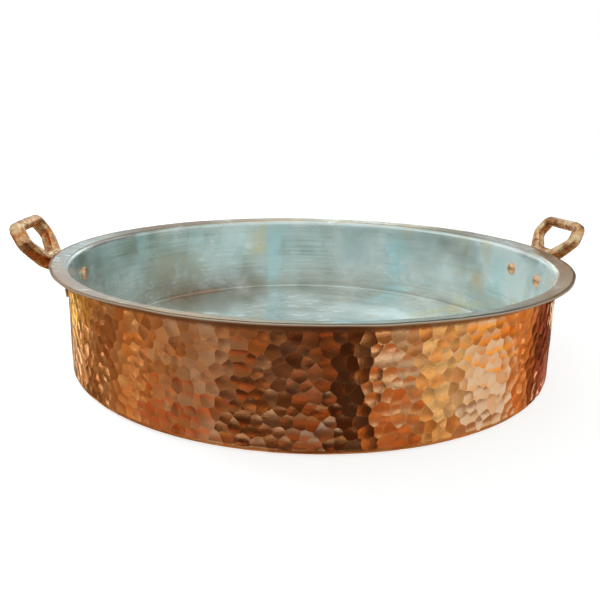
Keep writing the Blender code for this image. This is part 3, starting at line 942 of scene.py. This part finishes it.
def add_things(graph, light, bearing, elevation, things):
    """Lay soft-edged patches of light over the room."""
    for name, at, up, half_width, half_height, soft, tint in things:
        off_round = graph.math("ABSOLUTE", bearing - at)
        off_up = graph.math("ABSOLUTE", elevation - up)
        inside = graph.step(off_round, half_width + 2.0 * soft, half_width - 2.0 * soft)
        inside = inside * graph.step(off_up, half_height + soft, half_height - soft)
        inside.socket.node.label = name
        light = graph.blend(inside, light, colour(*tint))
    return light


def studio_world():
    """A pale background, and for reflections a warm room with a bright side and a dark middle."""
    world = bpy.data.worlds.new("studio")
    bpy.context.scene.world = world
    world.use_nodes = True
    world.cycles.sampling_method = "MANUAL"
    world.cycles.sample_map_resolution = 256
    tree = world.node_tree
    tree.nodes.clear()
    graph = Graph(tree)
    direction = graph.node("ShaderNodeTexCoord")["Generated"]
    x, y, z = graph.split(direction)
    back = (math.cos(CAMERA_BEARING), math.sin(CAMERA_BEARING))
    side = (-back[1], back[0])
    sideways = x * side[0] + y * side[1]
    bearing = graph.math("ARCTAN2", sideways, x * back[0] + y * back[1]) * (180.0 / math.pi)
    elevation = graph.math("ARCSINE", z) * (180.0 / math.pi)
    wobble = graph.node("ShaderNodeTexNoise", None, {"Vector": direction, "Scale": 9.0, "Detail": 2.0})["Color"]
    shift_round, shift_up, mottle = graph.split(wobble)
    seen_bearing = bearing + 14.0 * (shift_round - 0.5)
    seen_elevation = elevation + 5.0 * (shift_up - 0.5)
    light = graph.ramp(seen_bearing / 360.0 + 0.5, (
        (0.00, (0.42, 0.30, 0.20)),
        (0.06, (0.62, 0.50, 0.36)),
        (0.13, (0.34, 0.24, 0.13)),
        (0.22, (0.26, 0.16, 0.09)),
        (0.30, (0.40, 0.28, 0.17)),
        (0.40, (0.34, 0.26, 0.20)),
        (0.50, (0.16, 0.10, 0.07)),
        (0.56, (0.12, 0.08, 0.06)),
        (0.66, (0.45, 0.34, 0.22)),
        (0.80, (0.45, 0.26, 0.12)),
        (0.87, (0.20, 0.10, 0.07)),
        (0.93, (0.50, 0.38, 0.28)),
        (1.00, (0.42, 0.30, 0.20)),
    ))
    light = add_things(graph, light, seen_bearing, seen_elevation, ROOM_THINGS)
    goods = graph.node("ShaderNodeTexVoronoi", None, {"Vector": direction, "Scale": 9.0})["Color"]
    dabs = graph.ramp(graph.split(goods)[0] * 0.7 + mottle * 0.3, (
        (0.1, (0.45, 0.38, 0.34)),
        (0.4, (0.90, 0.86, 0.82)),
        (0.7, (1.15, 1.10, 1.00)),
        (0.9, (1.70, 1.50, 1.15)),
    ))
    crowd = graph.node("ShaderNodeTexVoronoi", None, {"Vector": direction, "Scale": 15.0})["Color"]
    slivers = graph.ramp(graph.split(crowd)[1], (
        (0.30, (0.22, 0.16, 0.12)),
        (0.55, (0.70, 0.66, 0.60)),
        (0.80, (1.30, 1.25, 1.10)),
        (0.92, (3.00, 3.00, 3.00)),
    ))
    far_side = graph.step(graph.math("ABSOLUTE", bearing), 100.0, 125.0)
    dabs = graph.blend(far_side * 0.85, dabs, slivers)
    calm = graph.step(graph.math("ABSOLUTE", bearing - 85.0), 20.0, 12.0)
    dabs = graph.blend(calm * 0.9, dabs, colour(1.0, 1.0, 1.0))
    low = graph.blend(1.0, light, dabs, "MULTIPLY")
    points = graph.node("ShaderNodeTexVoronoi", None, {"Vector": direction, "Scale": 10.0})["Distance"]
    sparks = graph.step(points, 0.20, 0.12) * graph.step(graph.math("ABSOLUTE", bearing), 45.0, 120.0)
    low = graph.blend(sparks * (1.0 - calm), low, colour(3.4, 2.8, 1.9))
    upper = graph.ramp(elevation / 90.0 + 0.3 * (mottle - 0.5), (
        (0.0, (0.42, 0.40, 0.36)),
        (0.2, (0.85, 0.90, 0.90)),
        (0.5, (0.55, 0.62, 0.62)),
        (0.8, (1.05, 1.10, 1.10)),
    ))
    upper = add_things(graph, upper, seen_bearing, seen_elevation, BACK_THINGS)
    light = graph.blend(graph.step(elevation, -9.0, -1.0), low, upper)
    reflected = graph.node("ShaderNodeBackground", None, {"Color": light, "Strength": 1.0})[0]
    backdrop = graph.node("ShaderNodeBackground", None, {"Color": colour(1.0, 1.0, 1.0), "Strength": 1.0})[0]
    seen = graph.node("ShaderNodeLightPath")["Is Camera Ray"]
    mixed = graph.node("ShaderNodeMixShader", None, {0: seen, 1: reflected, 2: backdrop})[0]
    out = tree.nodes.new("ShaderNodeOutputWorld")
    tree.links.new(mixed.socket, out.inputs["Surface"])


def area_light(name, place, target, size, power, tint):
    """A soft lamp that points at a target."""
    data = bpy.data.lights.new(name, "AREA")
    data.size = size
    data.energy = power
    data.color = tint
    lamp = bpy.data.objects.new(name, data)
    lamp.location = place
    lamp.visible_glossy = False
    lamp.rotation_euler = (Vector(target) - Vector(place)).to_track_quat("-Z", "Y").to_euler()
    bpy.context.scene.collection.objects.link(lamp)
    return lamp


def make_floor():
    """A plain pale floor that stays out of the copper's reflections."""
    material, graph, shader = new_finish("pale_floor")
    plug(graph, shader, base_color=colour(0.42, 0.42, 0.42), roughness=0.9)
    plug(graph, shader, emission_color=colour(1.0, 1.0, 1.0), emission_strength=0.72)
    builder = bmesh.new()
    bmesh.ops.create_grid(builder, x_segments=1, y_segments=1, size=6.0)
    floor = add_object("floor", builder)
    floor.data.materials.append(material)
    floor.location.z = -0.0002
    floor.visible_glossy = False


def make_camera():
    """The camera in front of the tray, a little above its rim."""
    data = bpy.data.cameras.new("camera")
    data.lens = LENS
    data.sensor_width = 36.0
    camera = bpy.data.objects.new("camera", data)
    eye = Vector((
        CAMERA_DISTANCE * math.cos(CAMERA_BEARING),
        CAMERA_DISTANCE * math.sin(CAMERA_BEARING),
        CAMERA_HEIGHT,
    ))
    heading = CAMERA_BEARING + math.pi + CAMERA_SWING
    forward = Vector((
        math.cos(heading) * math.cos(CAMERA_PITCH),
        math.sin(heading) * math.cos(CAMERA_PITCH),
        math.sin(CAMERA_PITCH),
    ))
    right = forward.cross(Vector((0.0, 0.0, 1.0))).normalized()
    up = right.cross(forward)
    turn = Matrix((right, up, -forward)).transposed().to_4x4()
    camera.matrix_world = Matrix.Translation(eye) @ turn @ Matrix.Rotation(CAMERA_ROLL, 4, "Z")
    bpy.context.scene.collection.objects.link(camera)
    bpy.context.scene.camera = camera


# ---------------------------------------------------------------------------
# Put it together
# ---------------------------------------------------------------------------

bpy.context.scene.view_settings.view_transform = "Standard"
make_camera()
studio_world()
make_floor()
area_light("left_window", (-1.3, 0.9, 1.5), (0.1, 0.0, 0.0), 0.9, 30.0, (0.93, 1.0, 1.0))

pan = make_pan(hammered_copper())
lining = make_lining()
lining.data.materials.append(wiped_tin())
for piece in (pan, lining):
    wander(piece, 0.0012, 0.0010)
bronze = cast_bronze()
right_handle = make_handle("handle_right", "right_handle_casting", 0.045, 0.0003, 2.0)
left_handle = make_handle("handle_left", "left_handle_casting", 0.08, 0.0006, 9.0)
for piece in (right_handle, left_handle):
    piece.data.materials.clear()
    piece.data.materials.append(bronze)
rivets = rivet_shape()
apply_tree(rivets, rivet_tree(), finish=rivet_copper())

for piece, slot, nodes in (
    (pan, "copper", ("copper_pan",)),
    (lining, "tin", ("tin_lining",)),
    (right_handle, "bronze", ("handle_right",)),
    (left_handle, "bronze", ("handle_left",)),
    (rivets, "rivet_copper", ("rivet_right_front", "rivet_right_back", "rivet_left_front", "rivet_left_back")),
):
    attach(piece, "root")
    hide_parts(*nodes)
